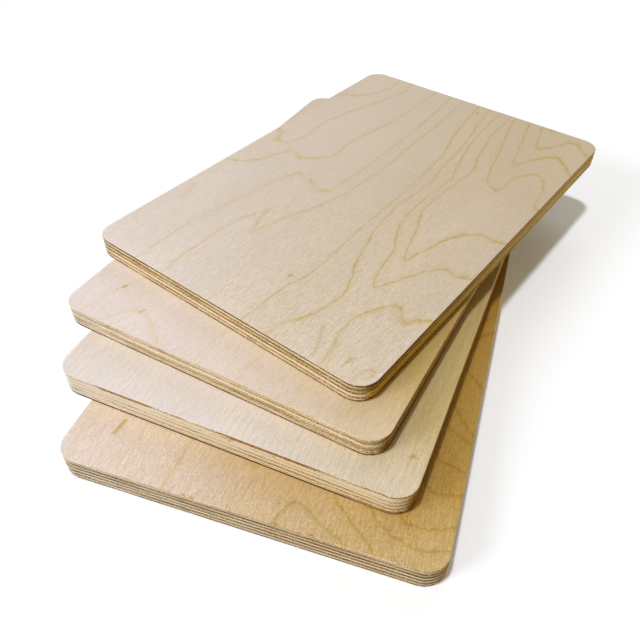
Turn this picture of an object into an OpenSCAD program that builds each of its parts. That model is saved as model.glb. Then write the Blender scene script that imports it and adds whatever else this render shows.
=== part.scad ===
// Stack of four small plywood sheets with rounded corners, fanned out like a hand of cards.
// Each sheet lies flat on the one below it, set back from it and turned a little clockwise.
// A sheet is glued up from thin birch veneers, each with its grain across that of its neighbours,
// and every veneer is a solid of its own that seats face to face on the one below.
// Origin at the centre of the bottom sheet's underside, +Y along that sheet, +Z up.
// Lengths are in millimetres and angles in degrees.

/* [Sheet] */
// Length of a sheet, along the grain of its face
sheet_l = 300; // [200:5:600]
// Width of a sheet, across the grain of its face
sheet_w = 200; // [120:5:400]
// Radius of a sheet's corners, seen from above
corner_r = 12; // [4:1:40]
// Chamfer sanded along the upper and lower edges of a sheet
arris = 0.4; // [0.1:0.1:0.7]

/* [Lay-up] */
// Thickness of a face or back veneer, after sanding
outer_t = 1.1; // [0.8:0.1:2]
// Thickness of an inner veneer
inner_t = 1.4; // [1:0.1:2.5]
// Veneers in each of the two thick sheets, at the bottom of the stack
thick_plies = 11; // [7:2:13]
// Veneers in each of the two thin sheets, on top
thin_plies = 9; // [5:2:11]

/* [Second sheet on the first] */
// Shift to the right, seen from the front
side_2 = -8; // [-40:0.5:40]
// Shift towards the back
back_2 = 29.5; // [0:0.5:60]
// Turn, clockwise seen from above
turn_2 = 5.1; // [0:0.1:30]

/* [Third sheet on the second] */
// Shift to the right, seen from the front
side_3 = -3.5; // [-40:0.5:40]
// Shift towards the back
back_3 = 24.5; // [0:0.5:60]
// Turn, clockwise seen from above
turn_3 = 5.5; // [0:0.1:30]

/* [Fourth sheet on the third] */
// Shift to the right, seen from the front
side_4 = 13; // [-40:0.5:40]
// Shift towards the back
back_4 = 28; // [0:0.5:60]
// Turn, clockwise seen from above
turn_4 = 9.1; // [0:0.1:30]

/* [Hidden] */
$fn = 96;

// Pale sanded faces, pale side grain of the crossbands and brown end grain of the cores
face_colour = "#E2D6C2";
crossband_colour = "#E6D3AE";
core_colour = "#A98355";

// One entry for each sheet, from the bottom up
plies = [thick_plies, thick_plies, thin_plies, thin_plies];
side_steps = [0, side_2, side_3, side_4];
back_steps = [0, back_2, back_3, back_4];
turn_steps = [0, turn_2, turn_3, turn_4];
top_sheet = len(plies) - 1;
sheet_heights = [for (count = plies) 2 * outer_t + (count - 2) * inner_t];

// Sum of a list's first entries
function sum_of(list, count) = count == 0 ? 0 : list[count - 1] + sum_of(list, count - 1);

// Height of a veneer's underside over the underside of its sheet
function ply_z(ply) = ply == 0 ? 0 : outer_t + (ply - 1) * inner_t;

function is_back(ply) = ply == 0;
function is_face(sheet, ply) = ply == plies[sheet] - 1;
function is_crossband(ply) = ply % 2 == 1;

function ply_name(sheet, ply) = str("sheet_", sheet + 1, "_",
    is_back(ply) ? "back_veneer"
    : is_face(sheet, ply) ? "face_veneer"
    : is_crossband(ply) ? str("crossband_", (ply + 1) / 2)
    : str("core_", ply / 2));

// Places its children once at the centre of each rounded corner
module at_corners() {
    for (x = [-1, 1])
        for (y = [-1, 1])
            translate([x * (sheet_w / 2 - corner_r), y * (sheet_l / 2 - corner_r), 0])
                children();
}

// Plan of a sheet, and of each veneer in it
module sheet_plan() {
    square([sheet_w - 2 * corner_r, sheet_l], center = true);
    square([sheet_w, sheet_l - 2 * corner_r], center = true);
    at_corners() circle(r = corner_r);
}

// Section through an outer veneer, with both its upper edges chamfered
function outer_section(width) = [
    [-width / 2, 0],
    [width / 2, 0],
    [width / 2, outer_t - arris],
    [width / 2 - arris, outer_t],
    [-width / 2 + arris, outer_t],
    [-width / 2, outer_t - arris]
];

// The part of an outer veneer that runs straight from end to end
module outer_run(width, run) {
    rotate([90, 0, 0])
        linear_extrude(run, center = true)
            polygon(outer_section(width));
}

// Outer veneer with its chamfer upwards: two straight runs crossed, with a turned disc at each corner
module outer_veneer() {
    outer_run(sheet_w, sheet_l - 2 * corner_r);
    rotate([0, 0, 90]) outer_run(sheet_l, sheet_w - 2 * corner_r);
    at_corners() {
        cylinder(r = corner_r, h = outer_t - arris);
        translate([0, 0, outer_t - arris])
            cylinder(r1 = corner_r, r2 = corner_r - arris, h = arris);
    }
}

module face_veneer() {
    color(face_colour) outer_veneer();
}

module back_veneer() {
    color(face_colour) translate([0, 0, outer_t]) mirror([0, 0, 1]) outer_veneer();
}

module crossband() {
    color(crossband_colour) linear_extrude(inner_t) sheet_plan();
}

module core() {
    color(core_colour) linear_extrude(inner_t) sheet_plan();
}

// Places its children on the seat of one veneer in one sheet of the stack
module in_stack(sheet, ply) {
    translate([
        sum_of(side_steps, sheet + 1),
        sum_of(back_steps, sheet + 1),
        sum_of(sheet_heights, sheet) + ply_z(ply)
    ])
        rotate([0, 0, -sum_of(turn_steps, sheet + 1)])
            children();
}

module veneer(sheet, ply) {
    in_stack(sheet, ply) {
        if (is_back(ply)) back_veneer();
        else if (is_face(sheet, ply)) face_veneer();
        else if (is_crossband(ply)) crossband();
        else core();
    }
}

for (sheet = [0 : top_sheet])
    for (ply = [0 : plies[sheet] - 1])
        veneer(sheet, ply);
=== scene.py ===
"""Looks of a fanned stack of four plywood sheets, laid out as an add-on and run as a script.

Each CAD veneer is replaced by a finer one. Faces carry growth lines drawn by hand, and cut edges carry
pale long fibres, brown end grain, glue lines and tears. Lengths are in metres, and in millimetres where
a name ends in _MM.
"""

import math
from collections import namedtuple

import bpy
import numpy as np
from bpy.props import FloatProperty, FloatVectorProperty, PointerProperty
from mathutils import Matrix, Vector


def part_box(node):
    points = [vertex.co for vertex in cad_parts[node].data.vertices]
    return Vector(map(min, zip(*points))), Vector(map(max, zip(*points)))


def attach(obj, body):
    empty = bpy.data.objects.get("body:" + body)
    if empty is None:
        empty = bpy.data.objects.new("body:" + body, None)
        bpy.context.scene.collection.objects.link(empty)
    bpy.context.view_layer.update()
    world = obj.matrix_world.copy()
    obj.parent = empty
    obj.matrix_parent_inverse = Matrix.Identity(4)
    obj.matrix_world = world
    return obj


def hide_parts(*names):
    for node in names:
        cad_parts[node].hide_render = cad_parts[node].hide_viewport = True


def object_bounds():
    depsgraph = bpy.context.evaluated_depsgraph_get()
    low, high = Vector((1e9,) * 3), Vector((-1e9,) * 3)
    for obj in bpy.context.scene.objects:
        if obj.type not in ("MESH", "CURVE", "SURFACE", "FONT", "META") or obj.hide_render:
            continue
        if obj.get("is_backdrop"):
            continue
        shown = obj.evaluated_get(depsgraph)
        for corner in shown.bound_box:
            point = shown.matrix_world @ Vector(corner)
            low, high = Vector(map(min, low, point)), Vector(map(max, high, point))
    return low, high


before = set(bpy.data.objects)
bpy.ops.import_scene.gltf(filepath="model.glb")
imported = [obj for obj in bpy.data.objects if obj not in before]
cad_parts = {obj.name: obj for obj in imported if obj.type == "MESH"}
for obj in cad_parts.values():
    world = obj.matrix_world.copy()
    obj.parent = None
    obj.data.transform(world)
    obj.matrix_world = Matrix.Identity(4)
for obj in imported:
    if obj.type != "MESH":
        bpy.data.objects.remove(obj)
CAD_BOX = [list(corner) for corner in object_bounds()]

bl_info = {
    "name": "Fanned plywood stack",
    "version": (1, 0, 0),
    "blender": (4, 5, 0),
    "location": "View3D > Sidebar > Plywood",
    "description": "Dresses the veneers of a fanned stack of birch plywood sheets and sets a stage for it",
    "category": "Add Mesh",
}

MM = 0.001
SHEETS = (1, 2, 3, 4)

# A face counts as upright below this share of vertical in its normal, and points touch within this length
UPRIGHT = 0.1
TOUCH = 0.01 * MM

# Growth lines of the faces: a level, then points in millimetres from the front edge and from the left one.
# A surface is bent through them, and a line shows wherever it comes to a whole level. A level that isn't
# whole draws no line and only holds the surface there.
TOP_LINES_MM = (
    (0.6, ((272, 2), (288, 8))),
    (1, ((247, 3), (252, 15), (265, 24), (282, 28), (300, 27))),
    (2, ((170, -6), (168, 9), (156, 12), (158, 20), (172, 24), (200, 22), (225, 26), (250, 34), (282, 41),
         (300, 38))),
    (3, ((112, -4), (115, 3), (119, 12), (128, 20), (141, 24), (151, 29), (148, 40), (153, 49), (164, 57),
         (180, 55), (195, 55), (225, 60), (250, 62), (300, 62))),
    (3.5, ((0, 8), (45, 6), (90, 3))),
    (4, ((0, 37), (30, 36), (52, 36), (76, 41), (101, 44), (120, 48), (132, 52), (130, 57), (128, 67),
         (122, 75), (127, 81), (140, 83), (175, 84), (225, 82), (275, 79), (300, 75))),
    (4.9, ((72, 71.5), (80, 73.5))),
    (5, ((0, 59), (20, 56), (58, 56), (75, 60), (89, 65), (77, 67), (60, 72), (70, 75), (88, 79), (105, 86),
         (130, 92), (160, 94), (185, 94), (212, 92), (250, 91), (275, 89), (300, 86))),
    (5.1, ((64, 63), (72, 64.5))),
    (6, ((0, 120), (38, 121), (50, 125), (75, 124), (108, 122), (160, 121), (190, 119), (215, 117),
         (238, 110), (250, 108), (275, 104), (300, 101))),
    (7, ((0, 136), (15, 140), (28, 147), (48, 150), (60, 147), (70, 142), (83, 137), (108, 130), (142, 126),
         (162, 128), (178, 129), (200, 125), (225, 123), (250, 119), (275, 114), (300, 110))),
    (7.6, ((82, 180), (84, 190))),
    (7.7, ((64, 170), (72, 177))),
    (8, ((300, 120), (260, 122), (240, 125), (212, 131), (190, 138), (160, 136), (140, 136), (125, 138),
         (100, 150), (70, 156), (64, 160), (78, 167), (95, 175), (105, 185), (101, 190), (106, 200))),
    (8, ((0, 172), (16, 169), (23, 166), (37, 165), (52, 170), (62, 177), (60, 182), (52, 187), (54, 190),
         (60, 195), (64, 202))),
    (7.8, ((57, 160),)),
    (8.2, ((75, 161),)),
    (8.4, ((25, 178), (22, 192))),
    (9, ((300, 129), (262, 131), (230, 137), (208, 144), (180, 142), (147, 141), (125, 150), (105, 156),
         (94, 160), (125, 168), (140, 175), (147, 185), (145, 192), (148, 202))),
    (8.8, ((87, 160),)),
    (9.2, ((106, 159.5),)),
    (9.5, ((150, 158), (152, 164), (168, 172))),
    (9.6, ((172, 157), (178, 168))),
    (9.8, ((189, 168), (205, 182))),
    (10, ((300, 132), (277, 137), (246, 146), (224, 151), (204, 157), (197, 164), (195, 169), (203, 170),
          (216, 170), (226, 174), (233, 180), (227, 188), (213, 193), (203, 194), (196, 194), (188, 204))),
    (10.2, ((206, 164),)),
    (10.3, ((241, 184),)),
    (10.8, ((222, 162),)),
    (11, ((300, 144), (258, 155), (229, 163), (234, 165), (245, 168), (257, 176), (263, 182), (256, 190),
          (246, 198), (242, 204))),
    (11.2, ((241, 164),)),
    (11.8, ((258, 164),)),
    (12, ((302, 154), (277, 161), (265, 164), (267, 169), (275, 174), (286, 179), (291, 184), (284, 192),
          (278, 198), (275, 204))),
    (12.2, ((276, 167),)),
    (13, ((302, 161), (297, 162), (299, 166), (302, 172))),
)
THIRD_LINES_MM = (
    (1, ((0, 14), (11, 17), (21, 19), (29, 22), (41, 28), (90, 33), (300, 30))),
    (2, ((0, 28), (7, 32.5), (14, 36.5), (17.5, 40.5), (17, 48), (12, 56), (4, 66), (0, 70))),
    (1, ((0, 92), (60, 96), (300, 90))),
    (0, ((0, 118), (28, 121), (70, 128), (300, 122))),
    (-1, ((0, 150), (50, 146), (120, 152), (300, 149))),
    (-2, ((0, 176), (90, 181), (300, 178))),
)
# Levels lie far apart on this sheet, so faint stripes fill the room between its lines
SECOND_LINES_MM = (
    (4, ((0, 14), (60, 16), (160, 12), (300, 18))),
    (12, ((0, 43), (80, 47), (170, 44), (300, 50))),
    (20, ((0, 74), (50, 72), (150, 76), (300, 70))),
    (27, ((0, 101), (90, 104), (180, 99), (300, 105))),
    (34, ((0, 127), (70, 124), (200, 131), (300, 126))),
    (42, ((0, 158), (100, 153), (190, 157), (300, 151))),
    (49, ((0, 183), (110, 186), (210, 180), (300, 187))),
)
BOTTOM_LINES_MM = (
    (-6, ((140, 180), (122, 191), (112, 201))),
    (-5, ((130, 172), (96, 187), (85, 195), (78, 201))),
    (-4, ((110, 172), (81, 187), (76, 194), (74, 201))),
    (-3, ((85, 178), (59, 185), (57, 197), (56, 202))),
    (-2, ((60, 172), (40, 185), (43, 199), (46, 206))),
    (-1, ((300, 168), (150, 160), (45, 165), (21, 175), (20, 186), (25, 198), (29, 204))),
    (0, ((300, 150), (150, 146), (50, 150), (19, 162), (12, 173), (9, 186), (14, 200), (19, 206))),
    (1, ((300, 135), (150, 131), (60, 134), (21, 143), (10, 157), (0, 169))),
    (1, ((0, 61.5), (11, 62), (29, 63), (100, 68), (300, 72))),
    (2, ((0, 118), (8, 120), (13.5, 123), (15.5, 127.5), (13, 131.5), (8, 138), (5, 145), (0, 155))),
    (0, ((0, 34), (40, 37), (150, 33), (300, 40))),
    (-1, ((0, 8), (60, 10), (300, 6))),
)

# Short flecks and streaks of the faces, and on the bottom sheet one wide painted glow: half width, strength,
# then points as for the growth lines
BOTTOM_MARKS_MM = (
    (1.0, 0.8, ((31, 24.3), (22, 22.9))),
    (2.5, 0.4, ((27.5, 96), (26.5, 100))),
    # Painted light: a wide faint warm glow bounced off the second sheet's front edge, just in front of it
    (11.0, 0.2, ((27, 82), (23, 125))),
    (0.5, 0.9, ((0.9, 72), (0.6, 73.5))),
    (0.5, 0.9, ((0.7, 76.5), (0.7, 78))),
    (0.5, 0.8, ((0.6, 119), (0.8, 121))),
    (0.5, 0.8, ((0.7, 136), (0.8, 138))),
)
SECOND_MARKS_MM = (
    (0.8, 0.9, ((26, 192.8), (24.4, 191.8))),
    (0.7, 0.6, ((25, 192.4), (25, 194.5))),
)
THIRD_MARKS_MM = (
    (0.7, 1.0, ((28, 21.8), (30, 22.8))),
    (0.6, 0.8, ((16, 44), (19, 45.2))),
)
TOP_MARKS_MM = (
    (0.8, 0.9, ((43.6, 117), (45, 117.4))),
    (0.8, 0.9, ((286, 106), (288, 105.6))),
)
# Short curls of growth line, written as the flecks are
TOP_CURLS_MM = (
    (0.7, 0.7, ((7, 181), (11, 181))),
    (1.0, 1.0, ((11, 181), (14.5, 181.4))),
    (0.6, 0.7, ((1.5, 190.2), (7, 190), (11.6, 190.7), (14.3, 193))),
    (1.0, 0.9, ((14.3, 193), (14.4, 195.2), (11, 196))),
    (0.5, 0.6, ((11, 196), (6.7, 194.7))),
    (1.5, 0.25, ((86, 65), (77, 67), (61, 72))),
    (2.5, 0.25, ((75, 8), (70, 9.5), (61, 12.5))),
    (0.8, 0.6, ((4, 165.3), (11, 163.2), (19, 158.7), (24, 156.3))),
)
# Stretches where growth lines fade, written as the flecks are
BOTTOM_FADES_MM = (
    (15.0, 0.7, ((0, 10), (60, 12))),
    (10.0, 0.6, ((0, 36), (50, 38))),
)
TOP_FADES_MM = (
    (5.0, 0.6, ((92, 65), (77, 67), (58, 72))),
    (6.0, 0.4, ((50, 62), (90, 76))),
)

Figure = namedtuple("Figure", "lines marks curls fades", defaults=((), (), ()))
FACE_FIGURES = {
    1: Figure(BOTTOM_LINES_MM, BOTTOM_MARKS_MM, fades=BOTTOM_FADES_MM),
    2: Figure(SECOND_LINES_MM, SECOND_MARKS_MM),
    3: Figure(THIRD_LINES_MM, THIRD_MARKS_MM),
    4: Figure(TOP_LINES_MM, TOP_MARKS_MM, TOP_CURLS_MM, TOP_FADES_MM),
}
BACK_FIGURE = Figure(SECOND_LINES_MM)

# How dark each veneer shows on its sheet's front and back edges, from the top down: 0 is pale, 1 is brown
# The dark values of the upper sheets' lowest veneers are partly painted shade where they sit on the sheet
# below
EDGE_TONES = {
    1: (0.3, 0.28, 0.78, 0.22, 0.82, 0.12, 0.76, 0.0, 0.76, 0.1, 0.8),
    2: (0.5, 0.1, -0.45, 0.1, -0.4, 0.42, -0.4, 0.42, 0.0, 0.22, 1.3),
    3: (0.22, 0.22, 0.42, -0.3, 0.28, 0.48, 0.3, 0.18, 0.93),
    4: (0.95, 0.08, 0.68, 0.33, 0.62, -0.5, 0.52, 0.08, 0.78),
}
# The same on the two long edges
SIDE_TONES = {
    1: (0.4, 0.7, 0.3, 0.8, 0.35, 0.75, 0.3, 0.8, 0.4, 0.7, 0.5),
    2: (0.25, 0.45, 0.7, 0.45, 0.9, 0.5, 1.15, 0.75, 1.2, 0.95, 0.5),
    3: (0.85, 0.65, 0.35, 0.9, 0.8, 0.95, 1.15, 1.1, 0.5),
    4: (0.95, 0.75, 0.45, 1.0, -0.2, 0.5, 0.2, 0.9, 0.5),
}
# How much painted light pales a sheet's front edge towards its left end, where the light comes from
EDGE_LEFT_LIGHT = {1: 0.45, 2: 0.75, 3: 0.45, 4: 0.0}

# How strongly painted shade darkens and warms the right strip of a lower face, and how strongly the painted
# shadow hard against its joint does
RIGHT_STRIP_SHADES = {1: (1.0, 1.0), 2: (0.86, 0.25), 3: (0.86, 0.3)}

# Fibres torn out of an edge, by its veneer and its side: from and to along that side, and how badly
TEARS_MM = {
    ("sheet_2_face_veneer", "front"): ((28, 62, 1.0), (76, 81, 0.5), (100, 156, 1.0), (176, 180, 0.8)),
    ("sheet_2_crossband_5", "front"): ((30, 60, 0.6), (106, 152, 0.8)),
    ("sheet_2_crossband_1", "front"): ((174, 196, 1.0),),
    ("sheet_2_back_veneer", "front"): ((172, 198, 0.9),),
    ("sheet_4_crossband_1", "front"): ((124, 130, 1.0),),
    ("sheet_4_crossband_1", "right"): ((52, 54, 1.0), (90, 94, 0.8)),
    ("sheet_4_crossband_4", "right"): ((168, 170, 1.0),),
}
# A tear runs out over this length, has this share of its depth where it ends, and is spread this much over
# its veneer's thickness
TEAR_END_MM = 2.0
TEAR_AT_END = 0.5
TEAR_SPREAD = 1.8
# Small tears lie anywhere on an edge, where smooth random numbers times the gain come to more than the least
TEAR_ROUNDS = 3
TEAR_GAIN = 3
TEAR_LEAST = 2.5
# How often the saw's ripple is rounded off
RIPPLE_ROUNDS = 2
# An edge belongs to the side that it faces by at least this share
ON_SIDE = 0.7

# Growth lines are sampled this far apart, rounded off this many times and bent through with this much
# give, on a lattice of this spacing and this many points at a time
LINE_STEP_MM = 2.0
LINE_ROUNDS = 1
LINE_GIVE = 1e-4
LATTICE_MM = 1.25
SOLVE_POINTS = 4000
# Least climb of the growth surface in levels to the millimetre, and least square in a logarithm
LEAST_CLIMB = 0.02
TINY = 1e-12
# Flecks are sampled this far apart and reach this many half widths. The painted shade by a joint fades over
# NEAR_MM
MARK_STEP_MM = 0.4
MARK_REACH = 3
NEAR_MM = 12


def paint(red, green, blue):
    """Linear colour of an sRGB one given in 0 to 255."""
    return tuple(((part / 255 + 0.055) / 1.055) ** 2.4 for part in (red, green, blue))


def colour(name, description, *rgb):
    """Property for one colour of the wood."""
    return FloatVectorProperty(
        name=name, description=description, default=paint(*rgb), subtype="COLOR", size=3, min=0, max=1
    )


def length(name, description, default):
    """Property for one length, in metres."""
    return FloatProperty(
        name=name, description=description, default=default, unit="LENGTH", min=0, precision=5
    )


def share(name, description, default, most=1.0):
    """Property for a plain number from nothing up."""
    return FloatProperty(name=name, description=description, default=default, min=0, max=most)


def power(name, description, default):
    """Property for a lamp's power."""
    return FloatProperty(name=name, description=description, default=default, min=0, unit="POWER")


class PlywoodCut(bpy.types.PropertyGroup):
    """Sizes of the veneers' meshes and of what the saw left on their edges."""

    face_step: length("Face mesh", "Spacing of the mesh on the upper face of a sheet", 1.05 * MM)
    back_step: length("Back mesh", "Spacing of the mesh on the underside of a sheet", 4 * MM)
    rim_step: length("Edge mesh", "Spacing of the mesh along a cut edge", 1.2 * MM)
    lower_arris: length("Lower arris", "Rounding along the lower edge of a sheet", 0.4 * MM)
    glue_groove: length("Glue line", "Depth of the groove where two veneers meet on an edge", 0.1 * MM)
    saw_ripple: length("Saw ripple", "How far a cut edge wanders inwards", 0.12 * MM)
    tear_depth: length("Tears", "How deep fibres are torn out of an edge", 0.4 * MM)


class PlywoodWood(bpy.types.PropertyGroup):
    """Colours and widths that all sheets share. A tint is a colour that the wood's own is multiplied by."""

    # Painted shade: faces darken and warm towards their far end, as if the light fell off towards the back
    far_end_shade: colour("Far end", "Tint of a face at its far end", 220, 215, 200)
    # Painted shade: the lower faces' right strips darker and warmer where the sheets above keep the light
    # off
    right_strip_shade: colour("Right strips", "Tint of the lower faces along the right", 229, 215, 156)
    # Painted shadow: the dark amber band along those strips hard against the sheet above
    right_shade: colour("Right shade", "Tint of those strips hard against a joint", 236, 213, 101)
    growth_line: colour("Growth lines", "Tint of the growth lines", 228, 220, 180)
    growth_halo: colour("Line halo", "Tint beside the growth lines", 252, 247, 210)
    # Painted shade: a face darker and warmer close to the sheet lying on it
    near_joint_shade: colour("By a joint", "Tint of a face close to the sheet on it", 246, 238, 190)
    fleck: colour("Flecks", "Tint of flecks and streaks", 216, 180, 66)
    edge_pale: colour("Edge, pale", "Palest wood of a cut edge", 250, 234, 204)
    edge_tan: colour("Edge, tan", "Middling wood of a cut edge", 200, 166, 108)
    edge_brown: colour("Edge, brown", "Darkest wood of a cut edge", 88, 54, 18)
    edge_torn: colour("Edge, torn", "Wood where fibres are torn out of a cut edge", 158, 104, 30)
    # Painted light: the pale that cut edges are lit to at their left end
    edge_lit_left: colour("Edge, left", "What cut edges pale to at their left end", 246, 234, 220)
    # Painted shade: the dark, saturated brown of the cut edges facing away from the light
    right_edge_shade: colour("Right edges", "Tint of the cut edges on the right", 238, 208, 58)
    line_sharp: length("Line, sharp side", "Width of a growth line on its outer side", 0.3 * MM)
    line_soft: length("Line, soft side", "Width of a growth line on its inner side", 0.45 * MM)
    line_halo: length("Line, halo", "Width of the faint yellow band along a growth line", 1.5 * MM)
    roughness: share("Roughness", "Roughness of sanded, unfinished wood", 0.62)


def face_group(name, sheet, left, right, turn, full, line, gust, grain, joint):
    """Settings for the wood of one sheet's face, or of the backs, as a PropertyGroup of their own."""
    settings = {
        # left and right are partly the wood's own tone and partly painted light, paler at the left where the
        # light comes from
        "left": colour("Left", f"Colour of {sheet} at the left edge", *left),
        "right": colour("Right", f"Colour of {sheet} at the right edge", *right),
        "turn": share("Turn", f"Share of the width of {sheet} where the left colour turns", turn),
        "full": share("Full", f"Share of the width of {sheet} where the right one is reached", full, most=2),
        "line": share("Lines", f"How strongly growth lines show on {sheet}", line, most=2),
        "gust": share("Gusts", f"How far growth lines widen where they cross the grain of {sheet}", gust),
        "grain": share("Grain", f"How strongly single fibres show on {sheet}", grain, most=5),
        # joint: how strongly the painted shade close to the sheet on it shows
        "joint": share("Joint", f"How strongly {sheet} is tinted close to the sheet on it", joint),
    }
    parts = {"__doc__": f"Wood of {sheet}.", "__annotations__": settings}
    return type(name, (bpy.types.PropertyGroup,), parts)


FACE_GROUPS = {
    "plywood_face_1": face_group(
        "PlywoodFace1", "the bottom sheet", left=(233, 216, 209), right=(203, 174, 124),
        turn=0.0, full=0.88, line=1.35, gust=0.1, grain=1.05, joint=0.55,
    ),
    "plywood_face_2": face_group(
        "PlywoodFace2", "the second sheet", left=(233, 224, 226), right=(218, 204, 184),
        turn=0.38, full=1.05, line=0.42, gust=0.0, grain=0.65, joint=0.3,
    ),
    "plywood_face_3": face_group(
        "PlywoodFace3", "the third sheet", left=(233, 220, 219), right=(207, 181, 126),
        turn=0.14, full=1.6, line=0.45, gust=0.8, grain=0.65, joint=0.35,
    ),
    "plywood_face_4": face_group(
        "PlywoodFace4", "the top sheet", left=(233, 221, 217), right=(222, 207, 190),
        turn=0.1, full=0.8, line=1.0, gust=1.0, grain=0.75, joint=0.0,
    ),
    "plywood_backs": face_group(
        "PlywoodBacks", "the backs", left=(233, 224, 226), right=(207, 181, 126),
        turn=0.38, full=1.05, line=0.42, gust=0.0, grain=0.65, joint=0.0,
    ),
}


class PlywoodStage(bpy.types.PropertyGroup):
    """Camera, lamps and floor."""

    camera_place: FloatVectorProperty(
        name="Camera",
        description="Where the camera stands",
        default=(83.36 * MM, -288.53 * MM, 293.55 * MM),
        subtype="TRANSLATION",
        unit="LENGTH",
    )
    camera_turn: FloatVectorProperty(
        name="Camera turn",
        description="The camera's heading to the left of +Y, its tilt below the horizon and its roll",
        default=(math.radians(17.44), math.radians(44.09), math.radians(1.1)),
        subtype="EULER",
        unit="ROTATION",
    )
    lens: share("Lens", "Focal length in millimetres on a 36 mm sensor", 36.925, most=200)
    key_strength: share("Key lamp", "Strength of the far lamp above the stack", 1.5, most=20)
    fill_power: power("Fill lamp", "Power of the broad lamp in front", 125)
    back_power: power("Back lamp", "Power of the broad lamp above and behind", 18)
    lamp_colour: colour("Lamps", "Colour of the lamps", 250, 252, 255)
    surround: share("Surround", "Strength of the plain light from all round", 0.24)
    surround_colour: colour("Surround", "Colour of the plain light from all round", 255, 238, 192)
    floor_bounce: share("Floor bounce", "Share of the light that the floor throws back", 0.55)
    floor_clear: colour("Floor white", "Added to the white of the floor where it is seen", 60, 76, 106)
    floor_glow: share("Floor glow", "Plain white added to what the camera sees of the floor", 0.05)


Sheet = namedtuple("Sheet", "number seat half_w half_l corner arris")


def measure_sheet(number):
    """Where a CAD sheet lies and the sizes of its plan, read from its face veneer."""
    node = f"sheet_{number}_face_veneer"
    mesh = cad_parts[node].data
    upright = [face for face in mesh.polygons if abs(face.normal.z) < UPRIGHT]
    long_side = max(upright, key=lambda face: face.area).normal
    turn = math.atan(long_side.y / long_side.x)
    low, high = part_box(node)
    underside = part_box(f"sheet_{number}_back_veneer")[0].z
    middle = Vector(((low.x + high.x) / 2, (low.y + high.y) / 2, underside))
    seat = Matrix.Translation(middle) @ Matrix.Rotation(turn, 4, "Z")
    to_sheet = seat.inverted()
    points = np.array([to_sheet @ vertex.co for vertex in mesh.vertices])
    half_w = points[:, 0].max()
    half_l = points[:, 1].max()
    on_long_side = points[:, 0] > half_w - TOUCH
    on_top = points[:, 2] > points[:, 2].max() - TOUCH
    corner = half_l - points[on_long_side, 1].max()
    arris = half_w - points[on_top, 0].max()
    return Sheet(number, seat, half_w, half_l, corner, arris)


def thickness_of(node):
    """Thickness of a CAD veneer."""
    low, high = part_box(node)
    return high.z - low.z


def seed_of(node):
    """Seed of a veneer's own irregularities."""
    return sorted(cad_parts).index(node)


def plan_grid(sheet, step):
    """Points of a sheet's face in rows across it, drawn in by the arris and set closer round the corners."""
    bend = sheet.corner - sheet.arris
    straight_w = sheet.half_w - sheet.corner
    straight_l = sheet.half_l - sheet.corner
    turns = np.linspace(0, math.pi / 2, 1 + math.ceil(bend * math.pi / 2 / step))
    end_y = straight_l + bend * np.sin(turns)
    end_w = straight_w + bend * np.cos(turns)
    run_y = np.linspace(-straight_l, straight_l, 1 + math.ceil(2 * straight_l / step))[1:-1]
    run_w = np.full(len(run_y), straight_w + bend)
    row_y = np.concatenate([-end_y[::-1], run_y, end_y])
    row_w = np.concatenate([end_w[::-1], run_w, end_w])
    across = np.linspace(-1, 1, 1 + math.ceil(2 * sheet.half_w / step))
    x = row_w[:, None] * across
    y = np.repeat(row_y[:, None], len(across), axis=1)
    return np.stack([x, y], -1)


def rim_of(indices):
    """Border of a grid of indices, from its front left corner round to the right."""
    return np.concatenate([indices[0, :-1], indices[:-1, -1], indices[-1, :0:-1], indices[:0:-1, 0]])


def outward(sheet, rim):
    """Level direction out of the sheet at points on its rim."""
    reach = np.array((sheet.half_w - sheet.corner, sheet.half_l - sheet.corner))
    away = rim - np.clip(rim, -reach, reach)
    return away / np.linalg.norm(away, axis=1, keepdims=True)


def from_corner(sheet, plan):
    """Millimetres from the front edge and from the left edge at points of a sheet's plan."""
    return np.column_stack([plan[:, 1] + sheet.half_l, plan[:, 0] + sheet.half_w]) / MM


def wander(rng, count, rounds):
    """Smooth random numbers from 0 to 1 round a closed rim."""
    line = rng.standard_normal(count)
    for _ in range(rounds):
        line = (np.roll(line, 1) + 2 * line + np.roll(line, -1)) / 4
    return (line - line.min()) / (line.max() - line.min())


def spaced(points, step):
    """Evenly spaced points on the straight legs of a line."""
    points = np.array(points, float)
    legs = np.linalg.norm(np.diff(points, axis=0), axis=1)
    run = np.concatenate([[0], np.cumsum(legs)])
    marks = np.linspace(0, run[-1], 1 + math.ceil(run[-1] / step))
    return np.stack([np.interp(marks, run, points[:, axis]) for axis in (0, 1)], -1)


def smooth_line(points):
    """Evenly spaced points on a rounded-off line through hand-placed ones."""
    line = spaced(points, LINE_STEP_MM)
    for _ in range(LINE_ROUNDS):
        line[1:-1] = (line[:-2] + 2 * line[1:-1] + line[2:]) / 4
    return line


def thin_plate(points, others):
    """Thin-plate kernel between two lists of points."""
    square = ((points[:, None, :] - others[None, :, :]) ** 2).sum(-1)
    return square * np.log(square + TINY)


def bend_through(lines, at):
    """Height, at each of some points, of a thin plate bent so that each line lies at its level."""
    drawn = [(level, smooth_line(points)) for level, points in lines]
    knots = np.concatenate([points for _, points in drawn])
    levels = np.concatenate([np.full(len(points), level) for level, points in drawn])
    count = len(knots)
    plane = np.column_stack([np.ones(count), knots])
    system = np.zeros((count + 3, count + 3))
    system[:count, :count] = thin_plate(knots, knots) + LINE_GIVE * np.eye(count)
    system[:count, count:] = plane
    system[count:, :count] = plane.T
    weights = np.linalg.solve(system, np.concatenate([levels, np.zeros(3)]))
    heights = []
    for start in range(0, len(at), SOLVE_POINTS):
        some = at[start : start + SOLVE_POINTS]
        tilt = np.column_stack([np.ones(len(some)), some]) @ weights[count:]
        heights.append(thin_plate(some, knots) @ weights[:count] + tilt)
    return np.concatenate(heights)


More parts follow.
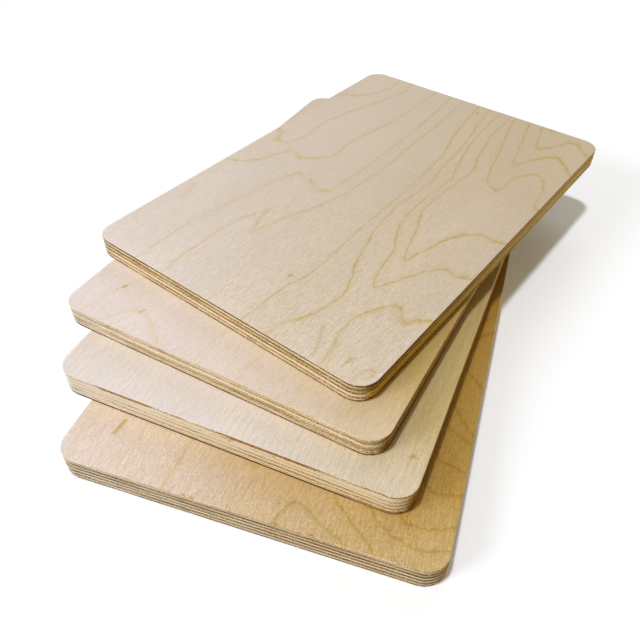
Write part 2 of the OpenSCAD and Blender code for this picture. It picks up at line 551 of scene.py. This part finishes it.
def growth_values(sheet, lines, plan):
    """Growth level at points of a sheet's plan, its climb to the metre and its slope along the grain."""
    along = np.arange(0, 2 * sheet.half_l / MM + 2 * LATTICE_MM, LATTICE_MM)
    across = np.arange(0, 2 * sheet.half_w / MM + 2 * LATTICE_MM, LATTICE_MM)
    lattice = np.stack(np.meshgrid(along, across, indexing="ij"), -1)
    level = bend_through(lines, lattice.reshape(-1, 2)).reshape(lattice.shape[:2])
    run, rise = np.gradient(level, LATTICE_MM)
    climb = np.maximum(np.hypot(run, rise), LEAST_CLIMB)
    place = from_corner(sheet, plan) / LATTICE_MM
    cell = np.clip(place.astype(int), 0, np.array(level.shape) - 2)
    i, j = cell.T
    u, v = (place - cell).T

    def sample(values):
        near = values[i, j] * (1 - v) + values[i, j + 1] * v
        far = values[i + 1, j] * (1 - v) + values[i + 1, j + 1] * v
        return near * (1 - u) + far * u

    return {"growth": sample(level), "climb": sample(climb) / MM, "run": sample(run) / MM}


def mark_values(sheet, marks, plan):
    """How strongly a fleck or streak covers each point of a sheet's plan."""
    place = from_corner(sheet, plan)
    cover = np.zeros(len(plan))
    for half_width, strength, points in marks:
        reach = MARK_REACH * half_width
        line = spaced(points, MARK_STEP_MM)
        close = np.all((place > line.min(0) - reach) & (place < line.max(0) + reach), axis=1)
        square = ((place[close][:, None, :] - line[None, :, :]) ** 2).sum(-1).min(1)
        cover[close] = np.maximum(cover[close], strength * np.exp(-square / half_width**2))
    return cover


def near_values(sheet, above, plan):
    """How close points of a sheet's plan are to the sheet above: 1 below it, and less further out."""
    into = np.array(above.seat.inverted() @ sheet.seat)
    points = plan @ into[:2, :2].T + into[:2, 3]
    outside = np.maximum(np.abs(points) - (above.half_w, above.half_l), 0)
    return np.exp(-np.linalg.norm(outside, axis=1) / (NEAR_MM * MM))


def torn_values(node, sheet, rim, out, rng):
    """How badly fibres are torn out round a veneer's edge: small tears anywhere, and the placed ones."""
    torn = np.clip(wander(rng, len(rim), TEAR_ROUNDS) * TEAR_GAIN - TEAR_LEAST, 0, 1)
    front, left = from_corner(sheet, rim).T
    sides = {"front": (out[:, 1] < -ON_SIDE, left), "right": (out[:, 0] > ON_SIDE, front)}
    for side, (on_side, run) in sides.items():
        for start, end, depth in TEARS_MM.get((node, side), ()):
            inside = np.minimum(run - start, end - run) / TEAR_END_MM + TEAR_AT_END
            torn = np.maximum(torn, on_side * depth * np.clip(inside, 0, 1))
    return torn


SHARP_DEGREES = 40
GROWTH_VALUES = ("growth", "climb", "run")
COVER_VALUES = ("mark", "curl", "fade", "near")
EDGE_VALUES = ("seam", "tear", "tone", "side_tone", "paling")
VERTEX_VALUES = GROWTH_VALUES + COVER_VALUES + EDGE_VALUES


class Shape:
    """Vertices, faces and vertex values of one veneer while it is put together."""

    def __init__(self):
        self.points = []
        self.faces = []
        self.values = {name: [] for name in VERTEX_VALUES}
        self.count = 0

    def add_points(self, plan, height, **values):
        """Adds points at a height, or at a height each, and gives their indices."""
        count = len(plan)
        self.points.append(np.column_stack([plan, np.broadcast_to(height, count)]))
        for name, kept in self.values.items():
            kept.append(np.broadcast_to(values.get(name, 0.0), count))
        self.count += count
        return np.arange(self.count - count, self.count)

    def add_grid(self, indices):
        """Adds the quads of a grid of indices, facing up."""
        quads = np.stack([indices[:-1, :-1], indices[:-1, 1:], indices[1:, 1:], indices[1:, :-1]], -1)
        self.faces += quads.reshape(-1, 4).tolist()

    def add_band(self, upper, lower):
        """Adds the quads between two closed loops of indices, facing out."""
        quads = np.stack([upper, lower, np.roll(lower, -1), np.roll(upper, -1)], -1)
        self.faces += quads.tolist()

    def add_cap(self, loop, up):
        """Closes a loop of indices with one face."""
        self.faces.append((loop if up else loop[::-1]).tolist())

    def turn_over(self, thickness):
        """Turns the shape upside down within its thickness."""
        self.points = [points * (1, 1, -1) + (0, 0, thickness) for points in self.points]
        self.faces = [face[::-1] for face in self.faces]

    def mesh(self, name, lift):
        """Mesh of the shape, lifted to its place in the sheet."""
        mesh = bpy.data.meshes.new(name)
        points = np.concatenate(self.points) + (0, 0, lift)
        mesh.from_pydata(points.tolist(), [], self.faces)
        for kind, kept in self.values.items():
            layer = mesh.attributes.new(kind, "FLOAT", "POINT")
            layer.data.foreach_set("value", np.concatenate(kept).astype(np.float32))
        mesh.shade_smooth()
        mesh.set_sharp_from_angle(angle=math.radians(SHARP_DEGREES))
        return mesh


# Degrees round an arris, and rings down an edge as shares of a veneer's thickness
ARRIS_TURNS = (30, 60, 90)
INNER_RINGS = (1, 0.84, 0.64, 0.36, 0.16, 0)
OUTER_RINGS = (0.44, 0.3, 0.16, 0)
# A ring this close to a veneer's upper or lower side lies on its glue line
SEAM_SHARE = 0.05


def tones_of(sheet, node):
    """How dark a veneer shows on its sheet's short edges and on its long ones."""
    nodes = [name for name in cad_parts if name.startswith(f"sheet_{sheet.number}_")]
    nodes.sort(key=lambda name: -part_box(name)[0].z)
    place = nodes.index(node)
    return {"tone": EDGE_TONES[sheet.number][place], "side_tone": SIDE_TONES[sheet.number][place]}


def edge_rings(shape, node, sheet, rim, heights, torn, rng, cut, arris_ring=None):
    """Adds the rings of a cut edge from the top down, joined to an arris where there is one.

    Gives the uppermost and the lowest ring's indices.
    """
    out = outward(sheet, rim)
    ripple = wander(rng, len(rim), RIPPLE_ROUNDS) * cut.saw_ripple
    thickness = thickness_of(node)
    tones = tones_of(sheet, node)
    rings = [] if arris_ring is None else [arris_ring]
    for height in heights:
        at_seam = height < SEAM_SHARE or height > 1 - SEAM_SHARE
        middle = min(1, TEAR_SPREAD * (1 - abs(2 * height - 1)))
        cover = min(1, TEAR_SPREAD * height) if arris_ring is None else 1.0
        inwards = ripple + torn * cut.tear_depth * middle + at_seam * cut.glue_groove
        ring = shape.add_points(
            rim + out * (sheet.arris - inwards)[:, None],
            height * thickness,
            seam=float(at_seam),
            tear=torn * cover,
            paling=EDGE_LEFT_LIGHT[sheet.number],
            **tones,
        )
        if rings:
            shape.add_band(rings[-1], ring)
        rings.append(ring)
    return rings[0], rings[-1]


def inner_shape(node, sheet, cut):
    """A veneer inside a sheet, of which only the cut edge shows."""
    rng = np.random.default_rng(seed_of(node))
    grid = plan_grid(sheet, cut.rim_step)
    indices = np.arange(grid.shape[0] * grid.shape[1]).reshape(grid.shape[:2])
    rim = grid.reshape(-1, 2)[rim_of(indices)]
    shape = Shape()
    torn = torn_values(node, sheet, rim, outward(sheet, rim), rng)
    top, bottom = edge_rings(shape, node, sheet, rim, INNER_RINGS, torn, rng, cut)
    shape.add_cap(top, up=True)
    shape.add_cap(bottom, up=False)
    return shape


def outer_shape(node, sheet, figure, above, step, cut):
    """A face or back veneer with its face up: growth lines, flecks, a rounded arris and a cut edge."""
    rng = np.random.default_rng(seed_of(node))
    thickness = thickness_of(node)
    tones = tones_of(sheet, node)
    grid = plan_grid(sheet, step)
    plan = grid.reshape(-1, 2)
    values = growth_values(sheet, figure.lines, plan)
    values["mark"] = mark_values(sheet, figure.marks, plan)
    values["curl"] = mark_values(sheet, figure.curls, plan)
    values["fade"] = mark_values(sheet, figure.fades, plan)
    if above is not None:
        values["near"] = near_values(sheet, above, plan)
    shape = Shape()
    face = shape.add_points(plan, thickness, **tones, **values).reshape(grid.shape[:2])
    shape.add_grid(face)
    last = rim_of(face)
    rim = plan[last]
    out = outward(sheet, rim)
    rim_values = {name: kept[last] for name, kept in values.items()}
    torn = torn_values(node, sheet, rim, out, rng)
    for turn in ARRIS_TURNS:
        angle = math.radians(turn)
        ring = shape.add_points(
            rim + out * sheet.arris * math.sin(angle),
            thickness - sheet.arris * (1 - math.cos(angle)),
            tear=torn * math.sin(angle),
            paling=EDGE_LEFT_LIGHT[sheet.number],
            **tones,
            **rim_values,
        )
        shape.add_band(last, ring)
        last = ring
    _, bottom = edge_rings(shape, node, sheet, rim, OUTER_RINGS, torn, rng, cut, arris_ring=last)
    shape.add_cap(bottom, up=False)
    return shape


class Wire:
    """A node's output that Python sums work on: each operation adds its Math node."""

    def __init__(self, board, socket):
        self.board = board
        self.socket = socket

    def out(self, name):
        """Another output of the same node."""
        return Wire(self.board, self.socket.node.outputs[name])

    def __add__(self, other):
        return self.board.math("ADD", self, other)

    def __sub__(self, other):
        return self.board.math("SUBTRACT", self, other)

    def __rsub__(self, other):
        return self.board.math("SUBTRACT", other, self)

    def __mul__(self, other):
        return self.board.math("MULTIPLY", self, other)

    def __truediv__(self, other):
        return self.board.math("DIVIDE", self, other)

    def __rtruediv__(self, other):
        return self.board.math("DIVIDE", other, self)

    def __pow__(self, other):
        return self.board.math("POWER", self, other)

    def __abs__(self):
        return self.board.math("ABSOLUTE", self)

    def __round__(self):
        return self.board.math("ROUND", self)

    __radd__ = __add__
    __rmul__ = __mul__


def solid(value):
    """A colour socket's value: a plain colour gets its alpha, and a wire stays as it is."""
    return value if isinstance(value, Wire) else (*value, 1.0)


# Middle of a noise
NOISE_MIDDLE = 0.5


class Board:
    """A node tree being wired up."""

    def __init__(self, tree):
        self.tree = tree
        tree.nodes.clear()

    def add(self, kind, settings=(), sockets=()):
        """Adds a node, sets it, then fills or links its sockets, and gives its first output."""
        node = self.tree.nodes.new(kind)
        for name, value in dict(settings).items():
            setattr(node, name, value)
        for key, value in dict(sockets).items():
            if isinstance(value, Wire):
                self.tree.links.new(value.socket, node.inputs[key])
            else:
                node.inputs[key].default_value = value
        return Wire(self, node.outputs[0]) if node.outputs else None

    def math(self, operation, *values):
        """Result of one Math node."""
        return self.add("ShaderNodeMath", {"operation": operation}, enumerate(values))

    def mix(self, factor, one, other, blend="MIX"):
        """Colour between two colours, or one blended with the other."""
        settings = {"data_type": "RGBA", "blend_type": blend, "clamp_factor": True}
        return self.add("ShaderNodeMix", settings, {0: factor, 6: solid(one), 7: solid(other)}).out(2)

    def step(self, value, low, high):
        """Smooth step from 0 at low to 1 at high."""
        settings = {"interpolation_type": "SMOOTHSTEP"}
        sockets = {"Value": value, "From Min": low, "From Max": high}
        return self.add("ShaderNodeMapRange", settings, sockets)

    def noise(self, place, kind):
        """Cloudy value about 0, with its own scale along each axis."""
        stretched = self.add("ShaderNodeVectorMath", {"operation": "MULTIPLY"}, {0: place, 1: kind.scale})
        sockets = {"Vector": stretched, "Scale": 1.0, "Detail": kind.detail, "Roughness": kind.roughness}
        return self.add("ShaderNodeTexNoise", {}, sockets) - NOISE_MIDDLE

    def split(self, vector):
        """The three parts of a vector."""
        parts = self.add("ShaderNodeSeparateXYZ", {}, {0: vector})
        return parts, parts.out("Y"), parts.out("Z")

    def value_of(self, name):
        """A value that the mesh's vertices carry."""
        return self.add("ShaderNodeAttribute", {"attribute_name": name}).out("Fac")


ALONG_GRAIN = "along"
ACROSS_GRAIN = "across"

# Noises of the wood: cycles to the metre across, along and through a sheet, then detail and roughness
Noise = namedtuple("Noise", "scale detail roughness")
FIBRES = Noise((1600, 180, 30), 2, 0.6)
TICKS = Noise((2000, 1200, 30), 2, 0.6)
WOBBLE = Noise((260, 110, 30), 3, 0.6)
GUSTS = Noise((120, 110, 30), 2, 0.5)
BLOTCHES = Noise((24, 12, 20), 3, 0.5)
DRIFT = Noise((45, 30, 900), 2, 0.5)
PORES = Noise((1500, 1500, 1200), 2, 0.7)
STREAKS = {
    ALONG_GRAIN: Noise((900, 90, 3000), 4, 0.65),
    ACROSS_GRAIN: Noise((90, 900, 3000), 4, 0.65),
}

# Shares of the normal over which a surface comes to face the front or back, the right, and up or down
FACING_FRONT = (0.3, 0.8)
FACING_RIGHT = (0.65, 0.98)
FACING_UP = (0.8, 0.98)

# Where along its sheet a long edge lightens towards its far end, where across its sheet painted light from
# the left pales an edge, and how dark its woods meet
EDGE_FAR_SPAN = (-80 * MM, 100 * MM)
EDGE_LIGHT_SPAN = (60 * MM, -100 * MM)
PALE_TO_TAN = (-0.1, 0.55)
TAN_TO_BROWN = (0.4, 1.1)
# What the far end takes from a long edge's darkness and from its painted shade, and what the rest adds to
# its darkness
FAR_DARK_LOSS = 0.5
FAR_SHADE_LOSS = 0.2
DRIFT_DARK = 1.2
STREAK_DARK = 1.6
PORE_DARK = 1.4
END_PORE_DARK = 1.2
SEAM_DARK = 0.65
# How fully a tear shows torn wood, and how pores and streaks break that up
TORN_SHOWN = 1.2
TORN_PORES = 4
TORN_STREAKS = 2

# How far fibres and wobble push a growth line aside
FIBRE_PUSH = 4 * MM
WOBBLE_PUSH = 3.5 * MM
# Ranges of the noise in which gusts set in, and of the levels to the metre in which lines come to show
GUSTY = (-0.1, 0.1)
LINE_CLIMB = (2, 14)
# Width of a line's soft side: always there, added across the grain and in gusts, and added in levels
SOFT_PLAIN = 0.7
SOFT_CROSSING = 0.5
SOFT_GUST = 2.2
SOFT_LEVELS = 0.008
# Strength of a line's halo, plain and in gusts
HALO_PLAIN = 0.3
HALO_GUST = 1.6
# Strength of a line at the left, what the right and gusts add, and the noise that breaks it up
LINE_LEFT = 0.72
LINE_RIGHT = 0.3
LINE_GUST = 0.35
LINE_BREAKS = 1.5
LINE_BROKEN = (-0.7, 0.4)
# How far blotches shift a face's tones and shade it, and ticks break up its flecks
BLOTCH_SHIFT = 0.3
BLOTCH_SHADE = 0.2
FLECK_TICKS = 3
# Shares of a lower face's length or width over which its painted far-end shade and the painted shade of its
# right strip set in, and the power by which the strip's painted shadow falls off away from a joint
FAR_SHADE_SPAN = (0.4, 1.0)
STRIP_ACROSS = (0.75, 1.0)
STRIP_ALONG = (0.0, 0.18)
STRIP_POWER = 3.0
# Strength of the grain's fibres and ticks, its strength at the left, and what right and far end change
GRAIN_FIBRES = 0.6
GRAIN_TICKS = 0.85
GRAIN_LEFT = 0.8
GRAIN_RIGHT = 0.55
GRAIN_FAR = 0.8
# Shade in red and in blue, for each part of it in green
SHADE_RED = 0.9
SHADE_BLUE = 1.3
# Relief of faces and edges, how far lines sink into it, how it roughens the wood, and the wood's sheen
FACE_RELIEF = 0.08 * MM
EDGE_RELIEF = 0.12 * MM
LINE_SINKS = 0.3
ROUGHENED = 0.3
SHEEN = 0.2


def cut_edge(board, place, facing, grain, wood):
    """Colour and relief of a cut edge, for a veneer whose grain runs along or across its sheet."""
    x, y, _ = board.split(place)
    front = board.step(abs(facing[1]), *FACING_FRONT)
    end = front if grain == ALONG_GRAIN else 1 - front
    streaks = board.noise(place, STREAKS[grain])
    drift = board.noise(place, DRIFT)
    pores = board.noise(place, PORES)
    towards_back = board.step(y, *EDGE_FAR_SPAN)
    dark = board.value_of("tone") * front + (board.value_of("side_tone") - towards_back * FAR_DARK_LOSS) * (1 - front)
    dark = dark + drift * DRIFT_DARK + streaks * (1 - end) * STREAK_DARK
    dark = dark + pores * (PORE_DARK + end * END_PORE_DARK) + board.value_of("seam") * SEAM_DARK
    edge = board.mix(board.step(dark, *PALE_TO_TAN), wood.edge_pale, wood.edge_tan)
    # Painted light from the left pales the edge towards the sheet's left end
    edge = board.mix(board.step(x, *EDGE_LIGHT_SPAN) * board.value_of("paling"), edge, wood.edge_lit_left)
    edge = board.mix(board.step(dark, *TAN_TO_BROWN), edge, wood.edge_brown)
    torn = board.value_of("tear") * (TORN_SHOWN + pores * TORN_PORES + streaks * TORN_STREAKS)
    edge = board.mix(torn, edge, wood.edge_torn)
    # Painted shade on the cut edges facing right, away from the light, a little less towards the far end
    right = board.step(facing[0], *FACING_RIGHT) * (1 - towards_back * FAR_SHADE_LOSS)
    edge = board.mix(right, edge, wood.right_edge_shade, "MULTIPLY")
    return edge, streaks * (1 - end) + pores


def wood_start(name):
    """A wood material with its tree cleared, and the coordinates every wood starts from."""
    material = bpy.data.materials.new(name)
    material.use_nodes = True
    board = Board(material.node_tree)
    coords = board.add("ShaderNodeTexCoord")
    return material, board, coords.out("Object"), board.split(coords.out("Normal"))


def wood_end(board, skin, roughness, relief, depth):
    """Closes a wood material with its shader."""
    bump = board.add("ShaderNodeBump", {}, {"Strength": 1.0, "Distance": depth, "Height": relief})
    sockets = {"Base Color": skin, "Roughness": roughness, "Specular IOR Level": SHEEN, "Normal": bump}
    shader = board.add("ShaderNodeBsdfPrincipled", {}, sockets)
    board.add("ShaderNodeOutputMaterial", {}, {"Surface": shader})


def edge_wood(name, grain, wood):
    """Wood of a veneer inside a sheet."""
    material, board, place, facing = wood_start(name)
    edge, relief = cut_edge(board, place, facing, grain, wood)
    wood_end(board, edge, wood.roughness + relief * ROUGHENED, relief, EDGE_RELIEF)
    return material


def growth_figure(board, place, fibres, gust, wood):
    """Late wood and halo of the growth lines, and how far gusts widen them."""
    climb = board.value_of("climb")
    run = board.value_of("run")
    pushed = fibres * run * FIBRE_PUSH + board.noise(place, WOBBLE) * climb * WOBBLE_PUSH
    growth = board.value_of("growth") + pushed
    apart = (growth - round(growth)) / climb
    crossing = abs(run) / climb
    wide = crossing * board.step(board.noise(place, GUSTS), *GUSTY) * gust
    soft = wood.line_soft * (SOFT_PLAIN + crossing * SOFT_CROSSING + wide * SOFT_GUST) + SOFT_LEVELS / climb
    inside = board.math("MAXIMUM", apart, 0.0) / soft
    outside = board.math("MINIMUM", apart, 0.0) / wood.line_sharp
    shown = board.step(climb, *LINE_CLIMB)
    late_wood = board.math("EXPONENT", outside - inside) * shown
    halo = board.math("EXPONENT", abs(apart) / -wood.line_halo) * shown
    return late_wood, halo, wide


def face_tone(board, sheet, reached, gained, far, face, wood):
    """Slow changes of a face's tone: from left to right, to the far end and along a lower face's right."""
    # Partly painted light: paler at the left, where the light comes from
    tone = board.mix(gained, face.left, face.right)
    # Painted shade towards the far end: on a square-root ramp for the top sheet, on a step for the lower
    # ones
    if sheet.number == SHEETS[-1]:
        return board.mix(board.math("SQRT", far), tone, wood.far_end_shade, "MULTIPLY")
    tone = board.mix(board.step(far, *FAR_SHADE_SPAN), tone, wood.far_end_shade, "MULTIPLY")
    # Painted shade along a lower face's right strip, and a painted shadow band hard against the joint
    tinted, joint_shadow_share = RIGHT_STRIP_SHADES[sheet.number]
    shaded_strip = board.step(reached, *STRIP_ACROSS) * board.step(far, *STRIP_ALONG)
    close = board.value_of("near") ** STRIP_POWER
    tone = board.mix(shaded_strip * tinted, tone, wood.right_strip_shade, "MULTIPLY")
    return board.mix(shaded_strip * close * joint_shadow_share, tone, wood.right_shade, "MULTIPLY")


def face_wood(name, sheet, face, wood):
    """Wood of a face or back veneer: growth lines, fibres, blotches and flecks, and its cut edge."""
    material, board, place, facing = wood_start(name)
    x, y, _ = board.split(place)
    fibres = board.noise(place, FIBRES)
    ticks = board.noise(place, TICKS)
    blotches = board.noise(place, BLOTCHES)
    late_wood, halo, wide = growth_figure(board, place, fibres, face.gust, wood)
    clear = 1 - board.value_of("fade")

    reached = (x + sheet.half_w) / (2 * sheet.half_w) + blotches * BLOTCH_SHIFT
    gained = board.step(reached, face.turn, face.full)
    far = (y + sheet.half_l) / (2 * sheet.half_l)
    skin = face_tone(board, sheet, reached, gained, far, face, wood)
    halo = halo * (HALO_PLAIN + wide * HALO_GUST) * clear * face.line
    skin = board.mix(halo, skin, wood.growth_halo, "MULTIPLY")
    line = late_wood * board.step((blotches + ticks) * LINE_BREAKS, *LINE_BROKEN) * face.line
    line = line * (LINE_LEFT + gained * LINE_RIGHT + wide * LINE_GUST) * clear + board.value_of("curl")
    skin = board.mix(line, skin, wood.growth_line, "MULTIPLY")
    # Painted shade close to the sheet above
    skin = board.mix(board.value_of("near") * face.joint, skin, wood.near_joint_shade, "MULTIPLY")
    skin = board.mix(board.value_of("mark") * (1 + ticks * FLECK_TICKS), skin, wood.fleck, "MULTIPLY")

    grain = (fibres * GRAIN_FIBRES + ticks * GRAIN_TICKS) * (GRAIN_LEFT + gained * GRAIN_RIGHT)
    shade = grain * (1 - far * GRAIN_FAR) * face.grain + blotches * BLOTCH_SHADE
    shades = {"Red": 1 + shade * SHADE_RED, "Green": 1 + shade, "Blue": 1 + shade * SHADE_BLUE}
    skin = board.mix(1.0, skin, board.add("ShaderNodeCombineColor", {}, shades), "MULTIPLY")

    edge, edge_relief = cut_edge(board, place, facing, ALONG_GRAIN, wood)
    flat = board.step(abs(facing[2]), *FACING_UP)
    skin = board.mix(flat * (1 - board.value_of("tear")), edge, skin)
    relief = (fibres + ticks - late_wood * LINE_SINKS) * flat + edge_relief * (1 - flat)
    wood_end(board, skin, wood.roughness + ticks * ROUGHENED, relief, FACE_RELIEF)
    return material


def put(name, data):
    """A new object in the scene."""
    thing = bpy.data.objects.new(name, data)
    bpy.context.scene.collection.objects.link(thing)
    return thing


def set_piece(sheet, node, shape, material, slot):
    """Puts a finished veneer in the place of its CAD node."""
    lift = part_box(node)[0].z - sheet.seat.translation.z
    mesh = shape.mesh(f"{node}_wood", lift)
    mesh.materials.append(material)
    piece = put(f"{node}_wood", mesh)
    piece.matrix_world = sheet.seat
    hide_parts(node)
    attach(piece, "root")


def set_inner_veneers(context, kind, grain):
    """Makes every veneer of one kind inside the sheets."""
    cut = context.scene.plywood_cut
    material = edge_wood(f"{kind}_wood", grain, context.scene.plywood_wood)
    for sheet in map(measure_sheet, SHEETS):
        for node in sorted(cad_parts):
            if node.startswith(f"sheet_{sheet.number}_{kind}_"):
                set_piece(sheet, node, inner_shape(node, sheet, cut), material, kind)


class AddFaceVeneers(bpy.types.Operator):
    """Add the upper veneer of each sheet, with its growth lines"""

    bl_idname = "plywood.add_face_veneers"
    bl_label = "Face veneers"

    def execute(self, context):
        scene = context.scene
        cut = scene.plywood_cut
        sheets = [measure_sheet(number) for number in SHEETS]
        for sheet, above in zip(sheets, [*sheets[1:], None]):
            node = f"sheet_{sheet.number}_face_veneer"
            shape = outer_shape(node, sheet, FACE_FIGURES[sheet.number], above, cut.face_step, cut)
            face = getattr(scene, f"plywood_face_{sheet.number}")
            material = face_wood(f"face_wood_{sheet.number}", sheet, face, scene.plywood_wood)
            set_piece(sheet, node, shape, material, "face_veneer")
        return {"FINISHED"}


class AddBackVeneers(bpy.types.Operator):
    """Add the lower veneer of each sheet"""

    bl_idname = "plywood.add_back_veneers"
    bl_label = "Back veneers"

    def execute(self, context):
        scene = context.scene
        cut = scene.plywood_cut
        for sheet in map(measure_sheet, SHEETS):
            node = f"sheet_{sheet.number}_back_veneer"
            rounded = sheet._replace(arris=cut.lower_arris)
            shape = outer_shape(node, rounded, BACK_FIGURE, None, cut.back_step, cut)
            shape.turn_over(thickness_of(node))
            name = f"back_wood_{sheet.number}"
            material = face_wood(name, sheet, scene.plywood_backs, scene.plywood_wood)
            set_piece(sheet, node, shape, material, "face_veneer")
        return {"FINISHED"}


class AddCrossbands(bpy.types.Operator):
    """Add the inner veneers whose grain runs across the sheet"""

    bl_idname = "plywood.add_crossbands"
    bl_label = "Crossbands"

    def execute(self, context):
        set_inner_veneers(context, "crossband", ACROSS_GRAIN)
        return {"FINISHED"}


class AddCores(bpy.types.Operator):
    """Add the inner veneers whose grain runs along the sheet"""

    bl_idname = "plywood.add_cores"
    bl_label = "Cores"

    def execute(self, context):
        set_inner_veneers(context, "core", ALONG_GRAIN)
        return {"FINISHED"}


FLOOR_REACH = 4.0
FLOOR_DROP = 0.05 * MM
FLOOR_CORNERS = ((-1, -1), (1, -1), (1, 1), (-1, 1))
# Left of the stack, the floor glows bare white from the first x to the second, with no shadow there
BARE_FLOOR = (-80 * MM, -100 * MM)
# Ways from the stack to its lamps, how far off they stand, and their sizes
KEY_WAY = (-0.16, -0.12, 1.0)
KEY_AWAY = 5.0
KEY_DEGREES = 5
FILL_WAY = (-0.7, -0.7, 0.45)
FILL_AWAY = 5.0
FILL_SIZE = 2.0
BACK_WAY = (0.05, 0.8, 0.6)
BACK_AWAY = 3.0
BACK_SIZE = 1.5
SENSOR_MM = 36
NEAREST_SEEN = 1 * MM
WHITE = (1.0, 1.0, 1.0, 1.0)


def seen_directly(board):
    """One for rays from the camera, straight or by way of gloss and glass, and nothing for other light."""
    path = board.add("ShaderNodeLightPath")
    seen = board.math("MAXIMUM", path.out("Is Camera Ray"), path.out("Is Glossy Ray"))
    return board.math("MAXIMUM", seen, path.out("Is Transmission Ray"))


def add_floor(stage):
    """A white floor that keeps the sheets' shadow but throws little light back at them."""
    corners = [(x * FLOOR_REACH, y * FLOOR_REACH, -FLOOR_DROP) for x, y in FLOOR_CORNERS]
    mesh = bpy.data.meshes.new("floor")
    mesh.from_pydata(corners, [], [(0, 1, 2, 3)])
    material = bpy.data.materials.new("floor_white")
    material.use_nodes = True
    board = Board(material.node_tree)
    bounce = board.add("ShaderNodeBsdfDiffuse", {}, {"Color": (*[stage.floor_bounce] * 3, 1)})
    white = board.add("ShaderNodeBsdfDiffuse", {}, {"Color": WHITE})
    clear = board.add("ShaderNodeBsdfDiffuse", {}, {"Color": (*stage.floor_clear, 1)})
    glow = board.add("ShaderNodeEmission", {}, {"Color": WHITE, "Strength": stage.floor_glow})
    shown = board.add("ShaderNodeAddShader", {}, {0: white, 1: clear})
    shown = board.add("ShaderNodeAddShader", {}, {0: shown, 1: glow})
    bare = board.add("ShaderNodeEmission", {}, {"Color": WHITE, "Strength": 1.0})
    x, _, _ = board.split(board.add("ShaderNodeTexCoord").out("Object"))
    shown = board.add("ShaderNodeMixShader", {}, {0: board.step(x, *BARE_FLOOR), 1: shown, 2: bare})
    shader = board.add("ShaderNodeMixShader", {}, {0: seen_directly(board), 1: bounce, 2: shown})
    board.add("ShaderNodeOutputMaterial", {}, {"Surface": shader})
    mesh.materials.append(material)
    put("floor", mesh)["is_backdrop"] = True


def add_lamp(name, kind, energy, tint, way, away, **sizes):
    """A lamp that stands off the middle of the stack and faces it."""
    lamp = bpy.data.lights.new(name, kind)
    lamp.energy = energy
    lamp.color = tint
    for size, value in sizes.items():
        setattr(lamp, size, value)
    stand = put(name, lamp)
    low, high = (Vector(corner) for corner in CAD_BOX)
    direction = Vector(way).normalized()
    stand.location = (low + high) / 2 + direction * away
    stand.rotation_euler = (-direction).to_track_quat("-Z", "Y").to_euler()


def add_lamps(stage):
    """A far key lamp above the stack with a firm shadow, and broad lamps in front and behind."""
    tint = stage.lamp_colour
    angle = math.radians(KEY_DEGREES)
    add_lamp("key_lamp", "SUN", stage.key_strength, tint, KEY_WAY, KEY_AWAY, angle=angle)
    add_lamp("fill_lamp", "AREA", stage.fill_power, tint, FILL_WAY, FILL_AWAY, size=FILL_SIZE)
    add_lamp("back_lamp", "AREA", stage.back_power, tint, BACK_WAY, BACK_AWAY, size=BACK_SIZE)


def add_surround(stage):
    """Plain light from all round, which the camera sees as white."""
    world = bpy.data.worlds.new("surround")
    world.use_nodes = True
    board = Board(world.node_tree)
    sockets = {"Color": (*stage.surround_colour, 1), "Strength": stage.surround}
    light = board.add("ShaderNodeBackground", {}, sockets)
    white = board.add("ShaderNodeBackground", {}, {"Color": WHITE, "Strength": 1.0})
    shader = board.add("ShaderNodeMixShader", {}, {0: seen_directly(board), 1: light, 2: white})
    board.add("ShaderNodeOutputWorld", {}, {"Surface": shader})
    bpy.context.scene.world = world


def add_camera(stage):
    """A camera at the viewing angle of the photograph."""
    camera = bpy.data.cameras.new("camera")
    camera.sensor_fit = "HORIZONTAL"
    camera.sensor_width = SENSOR_MM
    camera.lens = stage.lens
    camera.clip_start = NEAREST_SEEN
    stand = put("camera", camera)
    heading, tilt, roll = stage.camera_turn
    stand.matrix_world = (
        Matrix.Translation(stage.camera_place)
        @ Matrix.Rotation(heading, 4, "Z")
        @ Matrix.Rotation(math.pi / 2 - tilt, 4, "X")
        @ Matrix.Rotation(roll, 4, "Z")
    )
    bpy.context.scene.camera = stand


class AddStage(bpy.types.Operator):
    """Add the floor, the lamps, the surround and the camera"""

    bl_idname = "plywood.add_stage"
    bl_label = "Stage"

    def execute(self, context):
        stage = context.scene.plywood_stage
        context.scene.view_settings.view_transform = "Standard"
        add_floor(stage)
        add_lamps(stage)
        add_surround(stage)
        add_camera(stage)
        return {"FINISHED"}


OPERATORS = (AddFaceVeneers, AddBackVeneers, AddCrossbands, AddCores, AddStage)
SETTINGS = {
    "plywood_cut": PlywoodCut,
    "plywood_wood": PlywoodWood,
    **FACE_GROUPS,
    "plywood_stage": PlywoodStage,
}


class PlywoodPanel(bpy.types.Panel):
    """Lists the pieces of the stack and the settings they are made from"""

    bl_idname = "VIEW3D_PT_plywood"
    bl_label = "Plywood stack"
    bl_space_type = "VIEW_3D"
    bl_region_type = "UI"
    bl_category = "Plywood"

    def draw(self, context):
        for operator in OPERATORS:
            self.layout.operator(operator.bl_idname)
        for name, group in SETTINGS.items():
            box = self.layout.box()
            box.label(text=group.__doc__)
            for setting in group.__annotations__:
                box.prop(getattr(context.scene, name), setting)


def register():
    for kind in (*SETTINGS.values(), *OPERATORS, PlywoodPanel):
        bpy.utils.register_class(kind)
    for name, group in SETTINGS.items():
        setattr(bpy.types.Scene, name, PointerProperty(type=group))


def unregister():
    for name in SETTINGS:
        delattr(bpy.types.Scene, name)
    for kind in (PlywoodPanel, *OPERATORS, *SETTINGS.values()):
        bpy.utils.unregister_class(kind)


def main():
    """Registers the add-on, makes every piece in order and writes the two boxes."""
    register()
    bpy.ops.plywood.add_face_veneers()
    bpy.ops.plywood.add_back_veneers()
    bpy.ops.plywood.add_crossbands()
    bpy.ops.plywood.add_cores()
    bpy.ops.plywood.add_stage()
    {"cad": CAD_BOX, "visual": [list(corner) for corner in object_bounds()]}


if __name__ == "__main__":
    main()
